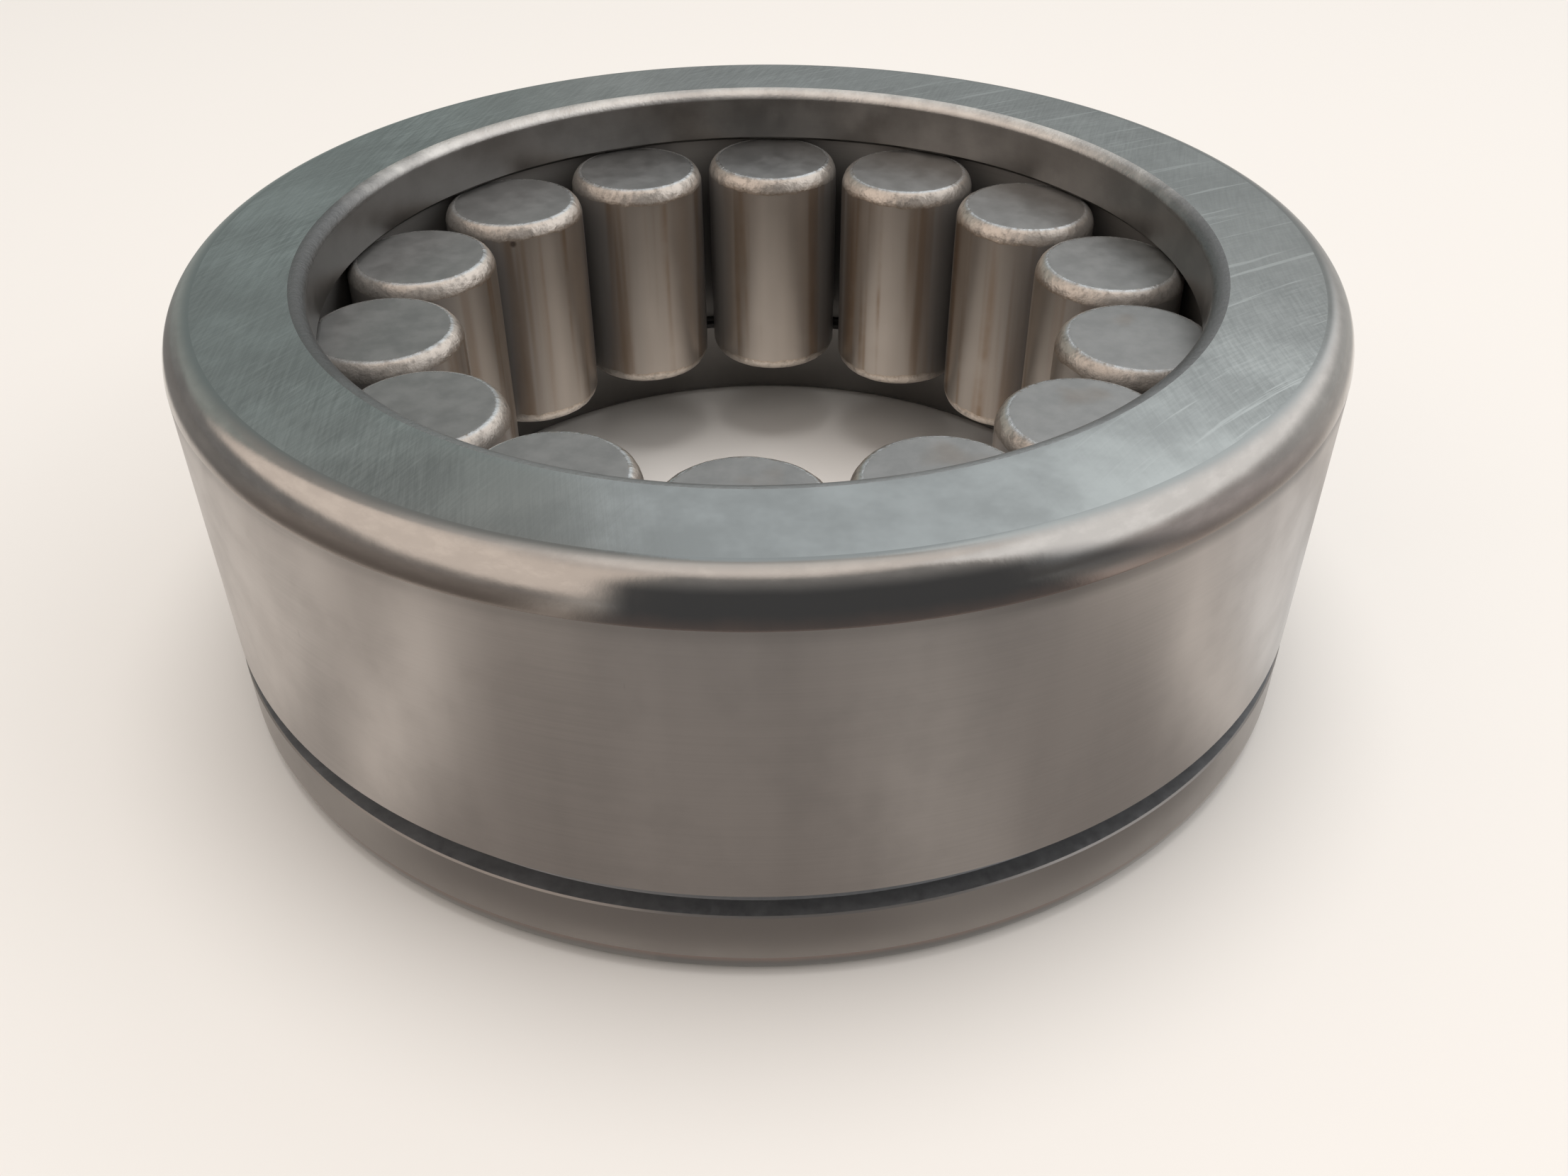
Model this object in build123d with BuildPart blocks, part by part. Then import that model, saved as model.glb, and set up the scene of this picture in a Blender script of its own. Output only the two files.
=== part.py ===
from build123d import *
import os
from math import asin, cos, pi, radians, sin, sqrt

# Cylindrical roller bearing without cage or inner ring: an outer ring with two integral
# ribs and the loose rollers that stand in its raceway. Millimetres. +Z is the bearing's
# axis, the lower face of the ring lies at Z = 0 and one roller stands on +Y.

# Outer ring: its wall is the steel from the raceway to the outside diameter
raceway_diameter = 72.0
ring_wall = 9.0
ring_width = 33.0
rib_height = 1.5
upper_rib_thickness = 4.8

# Corners of the ring: each is a quarter ellipse, radial by axial
top_outer_corner = (2.5, 3.2)
bottom_outer_corner = (1.2, 1.9)
bore_corner = (1.2, 1.0)
rib_edge_break = 0.3

# Grinding relief where the raceway meets a rib: a 45 degree undercut into both faces
relief_depth = 0.35

# Snap-ring groove in the outside diameter
groove_height = 6.0
groove_width = 1.9
groove_depth = 1.7
groove_root_chamfer = 0.25
groove_edge_break = 0.12

# Rollers: towards each end the body drops away from the raceway in a long, shallow taper
roller_diameter = 12.4
roller_length = 20.0
roller_corner = (1.0, 1.25)
taper_length = 3.0
taper_drop = 0.02
smallest_roller_gap = 0.6

# Clearances: beside a roller at the raceway, and in all at its two ends
running_clearance = 0.03
end_clearance = 0.1

# How near a drawn vertex lies to the place it is looked for
vertex_tolerance = 1e-4

# Worked out from the dimensions above
raceway_radius = raceway_diameter / 2
outside_radius = raceway_radius + ring_wall
rib_bore_radius = raceway_radius - rib_height
track_width = roller_length + end_clearance
upper_rib_face = ring_width - upper_rib_thickness
lower_rib_face = upper_rib_face - track_width
roller_radius = roller_diameter / 2
roller_foot = lower_rib_face + end_clearance / 2
pitch_radius = raceway_radius - roller_radius - running_clearance
roller_pitch_angle = 2 * asin((roller_radius + smallest_roller_gap / 2) / pitch_radius)
roller_count = int(2 * pi / roller_pitch_angle)


def quarter_ellipse(centre, corner, start_angle):
    """Round a corner: a quarter ellipse, counter-clockwise from this angle."""
    radial, axial = corner
    EllipticalCenterArc(centre, radial, axial, start_angle=start_angle, arc_size=90)


def corners_at(section, radius, *heights):
    """Pick the section's vertices at this radius and at any of these heights."""

    def wanted(vertex):
        at_height = any(abs(vertex.Y - height) < vertex_tolerance for height in heights)
        return at_height and abs(vertex.X - radius) < vertex_tolerance

    return section.vertices().filter_by(wanted)


# Outer ring: one section holds the body, the raceway channel between its ribs, the
# relief undercuts and the snap-ring groove, and is revolved once
with BuildPart() as outer_ring:
    with BuildSketch(Plane.XZ) as section:
        bore_edge = rib_bore_radius + bore_corner[0]
        top_edge = outside_radius - top_outer_corner[0]
        bottom_edge = outside_radius - bottom_outer_corner[0]
        land_top = ring_width - top_outer_corner[1]
        bore_top = ring_width - bore_corner[1]
        with BuildLine():
            Line((bore_edge, 0), (bottom_edge, 0))
            quarter_ellipse((bottom_edge, bottom_outer_corner[1]), bottom_outer_corner, 270)
            Line((outside_radius, bottom_outer_corner[1]), (outside_radius, land_top))
            quarter_ellipse((top_edge, land_top), top_outer_corner, 0)
            Line((top_edge, ring_width), (bore_edge, ring_width))
            quarter_ellipse((bore_edge, bore_top), bore_corner, 90)
            Line((rib_bore_radius, bore_top), (rib_bore_radius, bore_corner[1]))
            quarter_ellipse((bore_edge, bore_corner[1]), bore_corner, 180)
        make_face()

        # Raceway channel
        with Locations((rib_bore_radius, lower_rib_face)):
            Rectangle(rib_height, track_width, align=(Align.MIN, Align.MIN), mode=Mode.SUBTRACT)
        rib_edges = corners_at(section, rib_bore_radius, lower_rib_face, upper_rib_face)
        chamfer(rib_edges, length=rib_edge_break)

        # Snap-ring groove
        groove_sides = (groove_height, groove_height + groove_width)
        with Locations((outside_radius, groove_height)):
            Rectangle(groove_depth, groove_width, align=(Align.MAX, Align.MIN), mode=Mode.SUBTRACT)
        groove_edges = corners_at(section, outside_radius, *groove_sides)
        chamfer(groove_edges, length=groove_edge_break)
        groove_roots = corners_at(section, outside_radius - groove_depth, *groove_sides)
        chamfer(groove_roots, length=groove_root_chamfer)

        # Relief undercuts at both ends of the raceway
        relief_side = relief_depth * sqrt(2)
        with Locations((raceway_radius, lower_rib_face), (raceway_radius, upper_rib_face)):
            Rectangle(relief_side, relief_side, rotation=45, mode=Mode.SUBTRACT)
    revolve(axis=Axis.Z)
outer_ring.part.label = "outer_ring"


def build_roller(number):
    """Build one roller where it stands in the raceway; number 0 stands on +Y."""
    angle = radians(90 - number * 360 / roller_count)
    outward = Vector(cos(angle), sin(angle), 0)
    across = Vector(sin(angle), -cos(angle), 0)
    foot = outward * pitch_radius + Vector(0, 0, roller_foot)

    end_radius = roller_radius - taper_drop
    face_radius = end_radius - roller_corner[0]
    lower_corner_top = roller_corner[1]
    upper_corner_foot = roller_length - roller_corner[1]
    body_foot = lower_corner_top + taper_length
    body_top = upper_corner_foot - taper_length

    with BuildPart() as roller:
        with BuildSketch(Plane(origin=foot, x_dir=outward, z_dir=across)):
            with BuildLine():
                Line((0, 0), (face_radius, 0))
                quarter_ellipse((face_radius, lower_corner_top), roller_corner, 270)
                Line((end_radius, lower_corner_top), (roller_radius, body_foot))
                Line((roller_radius, body_foot), (roller_radius, body_top))
                Line((roller_radius, body_top), (end_radius, upper_corner_foot))
                quarter_ellipse((face_radius, upper_corner_foot), roller_corner, 0)
                Line((face_radius, roller_length), (0, roller_length))
                Line((0, roller_length), (0, 0))
            make_face()
        revolve(axis=Axis(foot, (0, 0, 1)))
    roller.part.label = f"roller_{number + 1:02d}"
    return roller.part


rollers = [build_roller(number) for number in range(roller_count)]

os.makedirs("parts", exist_ok=True)
for piece in [outer_ring.part, *rollers]:
    export_step(piece, f"parts/{piece.label}.step")
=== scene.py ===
"""Looks of a cylindrical roller bearing: a ribbed outer ring and the loose rollers inside it."""

from math import atan2, cos, degrees, pi, radians, sin

import bpy
import numpy as np
from bpy.props import FloatProperty, FloatVectorProperty, IntProperty, PointerProperty
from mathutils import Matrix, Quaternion, Vector, noise


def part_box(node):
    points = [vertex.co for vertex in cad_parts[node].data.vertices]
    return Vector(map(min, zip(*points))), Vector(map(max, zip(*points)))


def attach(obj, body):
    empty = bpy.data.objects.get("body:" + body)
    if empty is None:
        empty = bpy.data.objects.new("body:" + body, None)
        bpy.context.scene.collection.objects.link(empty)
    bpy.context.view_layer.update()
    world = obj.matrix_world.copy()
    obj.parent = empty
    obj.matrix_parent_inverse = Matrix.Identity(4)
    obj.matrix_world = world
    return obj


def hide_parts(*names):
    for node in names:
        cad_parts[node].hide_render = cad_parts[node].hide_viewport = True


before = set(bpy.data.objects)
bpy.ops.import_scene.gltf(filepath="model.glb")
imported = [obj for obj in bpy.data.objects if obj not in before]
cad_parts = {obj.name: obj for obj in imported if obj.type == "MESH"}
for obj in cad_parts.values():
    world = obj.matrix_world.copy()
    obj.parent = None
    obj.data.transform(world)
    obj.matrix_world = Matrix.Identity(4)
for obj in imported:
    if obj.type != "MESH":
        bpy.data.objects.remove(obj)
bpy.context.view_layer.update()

bl_info = {
    "name": "Cylindrical Roller Bearing",
    "version": (1, 0, 0),
    "blender": (4, 5, 0),
    "location": "View3D > Sidebar > Bearing",
    "description": "Builds a ground steel outer ring and its rollers around the packed model",
    "category": "Object",
}

MM = 0.001
SHARP_EDGE = radians(24)
RING_NODE = "outer_ring"
ROLLER_NODES = sorted(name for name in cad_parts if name.startswith("roller_"))
RING_LOW, RING_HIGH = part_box(RING_NODE)
ROLLER_LOW, ROLLER_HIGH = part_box(ROLLER_NODES[0])


# ---------------------------------------------------------------- values a user would change


def length(name, description, millimetres):
    """A length that the sidebar shows in the scene's units."""
    return FloatProperty(
        name=name,
        description=description,
        default=millimetres * MM,
        min=0.0,
        precision=5,
        unit="LENGTH",
        subtype="DISTANCE",
    )


def colour(name, description, value):
    """A colour, linear red, green and blue."""
    return FloatVectorProperty(
        name=name,
        description=description,
        default=value,
        size=3,
        min=0.0,
        max=1.0,
        subtype="COLOR",
    )


def rotation(name, description, turned):
    """An angle in degrees."""
    return FloatProperty(
        name=name,
        description=description,
        default=radians(turned),
        unit="ROTATION",
        subtype="ANGLE",
    )


class RingLooks(bpy.types.PropertyGroup):
    """Sizes and finishes of the outer ring."""

    raceway_radius: length("Raceway radius", "Radius of the track between the ribs", 36.0)
    bore_radius: length("Rib bore radius", "Radius inside the two ribs", 34.5)
    upper_rib_face: length("Upper rib face", "Height of the upper end of the track", 28.2)
    lower_rib_face: length("Lower rib face", "Height of the lower end of the track", 8.1)
    relief: length("Relief", "Half width of the undercut in the track's corners", 0.35)
    rib_break: length("Rib edge break", "Chamfer on the ribs' inner edges", 0.3)
    lead_in: length("Lead-in height", "Height of the top outer corner", 3.2)
    lead_in_depth: length("Lead-in depth", "How far the top outer corner comes in", 2.5)
    foot_corner: length("Foot corner height", "Height of the bottom outer corner", 1.9)
    foot_corner_depth: length("Foot corner depth", "How far the bottom corner comes in", 1.2)
    bore_corner: length("Bore corner height", "Height of the corner into the bore", 1.0)
    bore_corner_depth: length("Bore corner depth", "Width of the corner on the end face", 1.2)
    groove_height: length("Groove height", "Lower side of the snap-ring groove", 6.0)
    groove_width: length("Groove width", "Width of the snap-ring groove", 1.9)
    groove_depth: length("Groove depth", "Depth of the snap-ring groove", 1.7)
    groove_break: length("Groove edge break", "Chamfer on the groove's edges", 0.12)
    groove_root: length("Groove root", "Chamfer in the groove's roots", 0.25)
    segments: IntProperty(
        name="Segments",
        description="Facets round the ring",
        default=480,
        min=64,
    )
    face_colour: colour("End face", "Ground steel of the end faces", (0.50, 0.525, 0.52))
    corner_colour: colour("Corner", "Tumbled steel of the outer corners", (0.60, 0.565, 0.53))
    land_colour: colour("Outside", "Ground steel of the outside", (0.50, 0.465, 0.44))
    scale_colour: colour("Groove scale", "Black heat scale in the groove", (0.36, 0.365, 0.375))
    bore_colour: colour("Bore", "Turned steel of the rib bore", (0.36, 0.345, 0.33))


class RollerLooks(bpy.types.PropertyGroup):
    """Sizes and finishes of the rollers."""

    corner_height: length("Corner height", "Height of a roller's tumbled corner", 1.25)
    corner_depth: length("Corner depth", "How far the corner comes in on the end", 1.0)
    raggedness: length("Raggedness", "How far the corner's edge wanders on the body", 0.22)
    lumps: length("Lumps", "Depth of the hollows in the tumbled corner", 0.035)
    taper_length: length("Taper length", "Length of the shallow taper at each end", 3.0)
    taper_drop: length("Taper drop", "How far the taper falls from the body", 0.02)
    segments: IntProperty(
        name="Segments",
        description="Facets round a roller",
        default=160,
        min=48,
    )
    end_colour: colour("End", "Satin steel of the roller ends", (0.43, 0.43, 0.425))
    corner_colour: colour("Corner", "Tumbled steel of the roller corners", (0.80, 0.72, 0.645))
    body_colour: colour("Body", "Ground steel of the roller bodies", (0.49, 0.44, 0.395))
    stain_colour: colour("Stain", "Dried oil along the bodies", (0.30, 0.195, 0.115))


class StudioLooks(bpy.types.PropertyGroup):
    """Floor, light and camera."""

    floor_colour: colour("Floor", "Plain pale floor", (0.84, 0.812, 0.78))
    sky_colour: colour("Surroundings", "Plain light from all round", (0.93, 0.925, 0.915))
    dome_radius: length("Dome radius", "Radius of the dome that the steel mirrors", 1500.0)
    camera_place: FloatVectorProperty(
        name="Camera place",
        description="Where the camera stands",
        default=(4.495 * MM, -105.44 * MM, 79.06 * MM),
        size=3,
        precision=5,
        unit="LENGTH",
        subtype="TRANSLATION",
    )
    camera_heading: rotation(
        "Camera heading", "Direction of view, counter-clockwise from the X axis", 91.457
    )
    camera_pitch: rotation("Camera pitch", "How far the camera looks down", 37.373)
    camera_roll: rotation("Camera roll", "Turn of the camera about its own view", -0.0965)
    lens: FloatProperty(
        name="Lens",
        description="Focal length on a 36 mm sensor",
        default=32.815,
        unit="CAMERA",
    )


# ---------------------------------------------------------------- turned meshes


def quarter(centre, radial, axial, start, steps):
    """Points on a quarter ellipse, counter-clockwise from the start angle in degrees."""
    angles = np.radians(np.linspace(start, start + 90, steps + 1))
    return [(centre[0] + radial * cos(a), centre[1] + axial * sin(a)) for a in angles]


class Section:
    """A profile drawn point by point, with the finish and the corner place of each run."""

    def __init__(self):
        self.points = []
        self.finishes = []
        self.places = []

    def run(self, finish, points, places=None):
        """Add a run of this finish; its first point may be the last one already drawn."""
        places = [0.0] * len(points) if places is None else places
        for point, place in zip(points, places):
            if self.points and np.allclose(point, self.points[-1], atol=1e-9):
                self.places[-1] = max(place, self.places[-1])
                continue
            if self.points:
                self.finishes.append(finish)
            self.points.append(point)
            self.places.append(place)

    def close(self):
        """Drop the last point, which is the first one again."""
        self.points.pop()
        self.places.pop()


def ground_off(edge, foot, start, steps):
    """A corner cut by grinding: from the outside at foot to edge, the face's rim. It leaves
    the outside at the ellipse's start angle in degrees, and so at a faint crease."""
    first = radians(start)
    radial = (foot[0] - edge[0]) / cos(first)
    axial = (edge[1] - foot[1]) / (1 - sin(first))
    angles = np.linspace(first, pi / 2, steps + 1)
    centre = edge[1] - axial
    return [(edge[0] + radial * cos(a), centre + axial * sin(a)) for a in angles]


def turned_mesh(name, rows, bands, places, closed):
    """Skin rows of points into a mesh. rows is (rows, segments, 3), bands the finish between
    two rows and places a number per row; an open skin gets a fan at each end. Edges that turn
    further than SHARP_EDGE stay sharp."""
    count, segments = rows.shape[:2]
    vertices = rows.reshape(-1, 3)
    here = np.arange(segments)
    after = (here + 1) % segments
    faces = []
    finish = []
    last = count if closed else count - 1
    for row in range(last):
        low, high = row * segments, (row + 1) % count * segments
        faces += np.stack([low + here, low + after, high + after, high + here], 1).tolist()
        finish += [bands[row]] * segments
    row_places = np.repeat(places, segments)
    if not closed:
        centres = [rows[0].mean(0), rows[-1].mean(0)]
        foot, top = len(vertices), len(vertices) + 1
        vertices = np.vstack([vertices, centres])
        row_places = np.append(row_places, [places[0], places[-1]])
        highest = (count - 1) * segments
        faces += [[foot, int(b), int(a)] for a, b in zip(here, after)]
        faces += [[top, int(highest + a), int(highest + b)] for a, b in zip(here, after)]
        finish += [bands[0]] * segments + [bands[-1]] * segments
    mesh = bpy.data.meshes.new(name)
    mesh.from_pydata(vertices.tolist(), [], faces)
    mesh.polygons.foreach_set("material_index", finish)
    place = mesh.attributes.new("corner_place", "FLOAT", "POINT")
    place.data.foreach_set("value", row_places.astype(np.float32))
    mesh.shade_smooth()
    mesh.set_sharp_from_angle(angle=SHARP_EDGE)
    mesh.update()
    return mesh


def add_piece(name, mesh, materials):
    """Put a mesh into the scene with its finishes."""
    piece = bpy.data.objects.new(name, mesh)
    bpy.context.scene.collection.objects.link(piece)
    for material in materials:
        mesh.materials.append(material)
    return piece


# ---------------------------------------------------------------- node recipes


class Recipe:
    """The nodes of one finish. A value is a number, a colour or another node's output."""

    def __init__(self, name):
        self.material = bpy.data.materials.new(name)
        self.material.use_nodes = True
        self.tree = self.material.node_tree
        self.tree.nodes.clear()
        output = self.tree.nodes.new("ShaderNodeOutputMaterial")
        self.steel = self.tree.nodes.new("ShaderNodeBsdfPrincipled")
        self.tree.links.new(self.steel.outputs["BSDF"], output.inputs["Surface"])
        self.steel.inputs["Metallic"].default_value = 1.0

    def feed(self, socket, value):
        """Link an output to a socket, or write a value on it."""
        if isinstance(value, bpy.types.NodeSocket):
            self.tree.links.new(value, socket)
        elif hasattr(value, "__len__") and len(value) == 3 and socket.type == "RGBA":
            socket.default_value = (*value, 1.0)
        else:
            socket.default_value = value

    def node(self, kind, inputs=(), **settings):
        """Add a node of this kind; inputs go to its sockets by index or name."""
        made = self.tree.nodes.new("ShaderNode" + kind)
        for key, value in settings.items():
            setattr(made, key, value)
        pairs = inputs.items() if isinstance(inputs, dict) else enumerate(inputs)
        for key, value in pairs:
            self.feed(made.inputs[key], value)
        return made

    def math(self, operation, *values):
        """A sum on one or two values."""
        return self.node("Math", values, operation=operation).outputs[0]

    def times(self, first, second):
        """The product of two values."""
        return self.math("MULTIPLY", first, second)

    def vector(self, operation, *values):
        """A sum on vectors."""
        return self.node("VectorMath", values, operation=operation).outputs[0]

    def size(self, vector):
        """How long a vector is."""
        return self.node("VectorMath", (vector,), operation="LENGTH").outputs["Value"]

    def split(self, vector):
        """A vector's parts along X, Y and Z."""
        return self.node("SeparateXYZ", (vector,)).outputs

    def ease(self, value, low, high, start=0.0, end=1.0):
        """Run smoothly from start to end as the value goes from low to high."""
        inputs = {"Value": value, 1: low, 2: high, 3: start, 4: end}
        return self.node("MapRange", inputs, interpolation_type="SMOOTHSTEP").outputs[0]

    def spread(self, clouds, start=0.0, end=1.0):
        """Run from start to end over the range where most of the noise's values lie."""
        return self.ease(clouds, 0.3, 0.7, start, end)

    def blend(self, factor, first, second, mode="MIX"):
        """Mix two colours."""
        made = self.node("Mix", data_type="RGBA", blend_type=mode)
        self.feed(made.inputs["Factor"], factor)
        self.feed(made.inputs[6], first)
        self.feed(made.inputs[7], second)
        return made.outputs[2]

    def clouds(self, vector, scale, detail=3.0, roughness=0.55, seed=0.0):
        """Noise from 0 to 1."""
        inputs = {"Vector": vector, "W": seed, "Scale": scale}
        inputs.update({"Detail": detail, "Roughness": roughness})
        return self.node("TexNoise", inputs, noise_dimensions="4D").outputs[0]

    def place(self):
        """Where a point is on its own piece, in millimetres."""
        own = self.node("TexCoord").outputs["Object"]
        return self.node("VectorMath", {0: own, "Scale": 1 / MM}, operation="SCALE").outputs[0]

    def stretched(self, place, across, up):
        """The place squeezed or drawn out across and up the axis."""
        return self.vector("MULTIPLY", place, (across, across, up))

    def number(self):
        """A piece's own number, so that like pieces differ."""
        return self.node("ObjectInfo").outputs["Object Index"]

    def attribute(self, name):
        """A number kept on the mesh."""
        return self.node("Attribute", attribute_name=name).outputs["Fac"]

    def bump(self, height, strength, distance, under=None):
        """Relief of this depth in millimetres."""
        made = self.node("Bump", {"Height": height, "Strength": strength})
        made.inputs["Distance"].default_value = distance * MM
        if under is not None:
            self.feed(made.inputs["Normal"], under)
        return made.outputs[0]

    def crowded(self, reach, low, high):
        """From 0 in the open to 1 where other metal stands within reach millimetres."""
        near = self.node("AmbientOcclusion", {"Distance": reach * MM}, samples=6)
        return self.ease(near.outputs["AO"], low, high, 1.0, 0.0)

    def dulled(self, film, amount):
        """Let a dull film over the steel scatter light where it lies."""
        kept = self.math("SUBTRACT", 1.0, self.times(film, amount))
        self.feed(self.steel.inputs["Metallic"], kept)

    def brushed_round(self, amount):
        """Draw reflections out along the axis, as grinding lines round it do."""
        tangent = self.node("Tangent", direction_type="RADIAL", axis="Z").outputs[0]
        self.feed(self.steel.inputs["Tangent"], tangent)
        self.steel.inputs["Anisotropic"].default_value = amount
        self.steel.inputs["Anisotropic Rotation"].default_value = 0.25

    def finish(self, base, roughness, normal=None):
        """Give the steel its colour, roughness and relief."""
        self.feed(self.steel.inputs["Base Color"], base)
        self.feed(self.steel.inputs["Roughness"], roughness)
        if normal is not None:
            self.feed(self.steel.inputs["Normal"], normal)
        return self.material


def shade(value, factor):
    """A colour made lighter or darker."""
    return tuple(min(1.0, channel * factor) for channel in value)


# Finishes of the ring, in millimetres from the middle of its lower face. First the centres of
# the grinding wheel for the two sets of arcs, and the patch of the end face that handling has
# rubbed, with the distances between which the arcs come back.
UPRIGHT_ARCS = (150.0, -8.0)
RISING_ARCS = (82.0, -78.0)
RUBBED_PLACE = (9.0, -42.0, 33.0)
RUBBED_REACH = (16.0, 44.0)

# The painted shade on the top corner stands for the dark surroundings that its lower part mirrors
# over the front. In degrees from the front (-Y) towards +X: where its sharp end lies, where it
# starts to narrow and where it fades out. Then how fast it narrows for each radian, and the heights
# between which the painted shade on the bottom corner ends.
SHADE_BEGINS = (-10.2, -6.8)
SHADE_NARROWS = 23.0
SHADE_ENDS = (28.0, 46.0)
SHADE_NARROWING = -1.3
FOOT_SHADE_TOP = (5.0, 8.0)

# Outside: heights between which the darker strip below the groove ends, and between which the
# painted shade under the top corner begins, and where along X that painted shade grows darker.
BELOW_GROOVE = (6.5, 7.5)
UNDER_CORNER = (28.5, 29.7)
STRIP_DARKENS = (13.0, 20.0)

# Bore: where along X the painted shade on the wall's -X side thins out, where along Y the corner
# turns from its painted front light to its painted side shade and its painted back highlight, and
# the heights over which the painted shade on the lower rib, under the rollers, ends. Then the
# heights over which the raceway's painted shade gives way to painted light.
LEFT_SHADE_THINS = (-32.0, -6.0)
FRONT_CORNER_ENDS = (-26.0, -12.0)
BACK_CORNER_BEGINS = (10.0, 30.0)
LOWER_RIB_SHADE_ENDS = (8.0, 9.0)
RACEWAY_LIGHTENS = (21.0, 29.5)

# Colours of brown scale and of painted shade on the outer corners, and of the bore's corner from
# front to back: painted light, painted shade and a painted highlight.
BROWN_SCALE = (0.30, 0.265, 0.24)
GREY_PAINTED_SHADE = (0.175, 0.172, 0.170)
BROWN_PAINTED_SHADE = (0.27, 0.22, 0.20)
FRONT_CORNER_LIGHT = (0.42, 0.43, 0.43)
SIDE_CORNER_SHADE = (0.23, 0.23, 0.23)
BACK_CORNER_HIGHLIGHT = ((0.74, 0.70, 0.66), (0.98, 0.94, 0.89))


def grinding_arcs(recipe, place, centre, seed, closeness=4.2, breaks=34.0):
    """Arcs round a centre beside the part, as a cup wheel leaves them on a face. More
    closeness makes them finer, and more breaks make them shorter."""
    off = recipe.vector("SUBTRACT", place, (*centre, 0.0))
    distance = recipe.size(recipe.vector("MULTIPLY", off, (1.0, 1.0, 0.0)))
    across, along, _ = recipe.split(off)
    angle = recipe.math("ARCTAN2", along, across)
    rings = recipe.node("CombineXYZ", (recipe.times(distance, closeness), angle, 0.0))
    drawn = recipe.vector("MULTIPLY", rings.outputs[0], (1.0, breaks, 1.0))
    return recipe.clouds(drawn, 1.0, 3.0, 0.6, seed)


def ground_face(looks):
    """End face: crossing grinding arcs over cloudy steel, fainter where hands have rubbed it."""
    recipe = Recipe("ground_end_face")
    place = recipe.place()
    side = recipe.split(place)[0]
    upright = grinding_arcs(recipe, place, UPRIGHT_ARCS, 1.0)
    rising = grinding_arcs(recipe, place, RISING_ARCS, 4.0)
    arcs = recipe.math("ADD", recipe.times(upright, 0.55), recipe.times(rising, 0.45))
    mottle = recipe.clouds(place, 0.16, 4.0, 0.6, 2.0)
    wide = recipe.clouds(place, 0.05, 2.0, 0.5, 6.0)

    apart = recipe.size(recipe.vector("SUBTRACT", place, RUBBED_PLACE))
    away = recipe.math("ADD", apart, recipe.times(wide, 12.0))
    unrubbed = recipe.ease(away, *RUBBED_REACH)
    patchy = recipe.times(recipe.ease(wide, 0.36, 0.60, 0.45, 1.0), unrubbed)
    kept = recipe.times(patchy, recipe.ease(side, -28.0, 16.0, 1.0, 0.62))

    base = looks.face_colour
    cloudy = recipe.blend(recipe.ease(mottle, 0.35, 0.68), shade(base, 0.86), shade(base, 1.10))
    lined = recipe.blend(recipe.ease(arcs, 0.36, 0.64), (0.74, 0.75, 0.75), (1.17, 1.17, 1.17))
    lined = recipe.blend(kept, (0.98, 0.98, 0.98), lined)
    steel = recipe.blend(1.0, cloudy, lined, "MULTIPLY")
    long_arc = recipe.times(recipe.ease(rising, 0.62, 0.72), 0.42)
    steel = recipe.blend(recipe.times(long_arc, kept), steel, shade(base, 1.45))
    scratches = grinding_arcs(recipe, place, RISING_ARCS, 9.0, closeness=1.5, breaks=5.0)
    pale = recipe.times(recipe.ease(scratches, 0.57, 0.64),
                        recipe.ease(side, -6.0, 22.0, 0.12, 0.75))
    steel = recipe.blend(recipe.times(pale, unrubbed), steel, shade(base, 1.40))
    dark_line = recipe.times(recipe.ease(upright, 0.66, 0.76), 0.35)
    steel = recipe.blend(recipe.times(dark_line, kept), steel, shade(base, 0.62))
    return recipe.finish(steel, recipe.spread(mottle, 0.23, 0.17), recipe.bump(arcs, 0.18, 0.02))


def painted_corner_shade(recipe, place, where, blotches):
    """How far painted shade covers the corner: the top corner's lower part over the front, standing
    for the dark surroundings mirrored there, and the bottom corner all round, standing for its
    shade."""
    across, along, up = recipe.split(place)
    heading = recipe.math("ARCTAN2", across, recipe.times(along, -1.0))
    begins = recipe.ease(heading, *map(radians, SHADE_BEGINS))
    ends = recipe.ease(heading, *map(radians, SHADE_ENDS), 1.0, 0.0)
    past = recipe.math("SUBTRACT", heading, radians(SHADE_NARROWS))
    narrowing = recipe.times(recipe.math("MAXIMUM", past, 0.0), SHADE_NARROWING)
    wavy = recipe.math("ADD", where, recipe.times(blotches, 0.06))
    upper = recipe.ease(recipe.math("ADD", wavy, narrowing), 0.38, 0.62)
    bottom = recipe.ease(up, *FOOT_SHADE_TOP, 0.9, 0.0)
    front = recipe.times(begins, ends)
    return recipe.math("MAXIMUM", recipe.times(upper, front), bottom)


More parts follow.
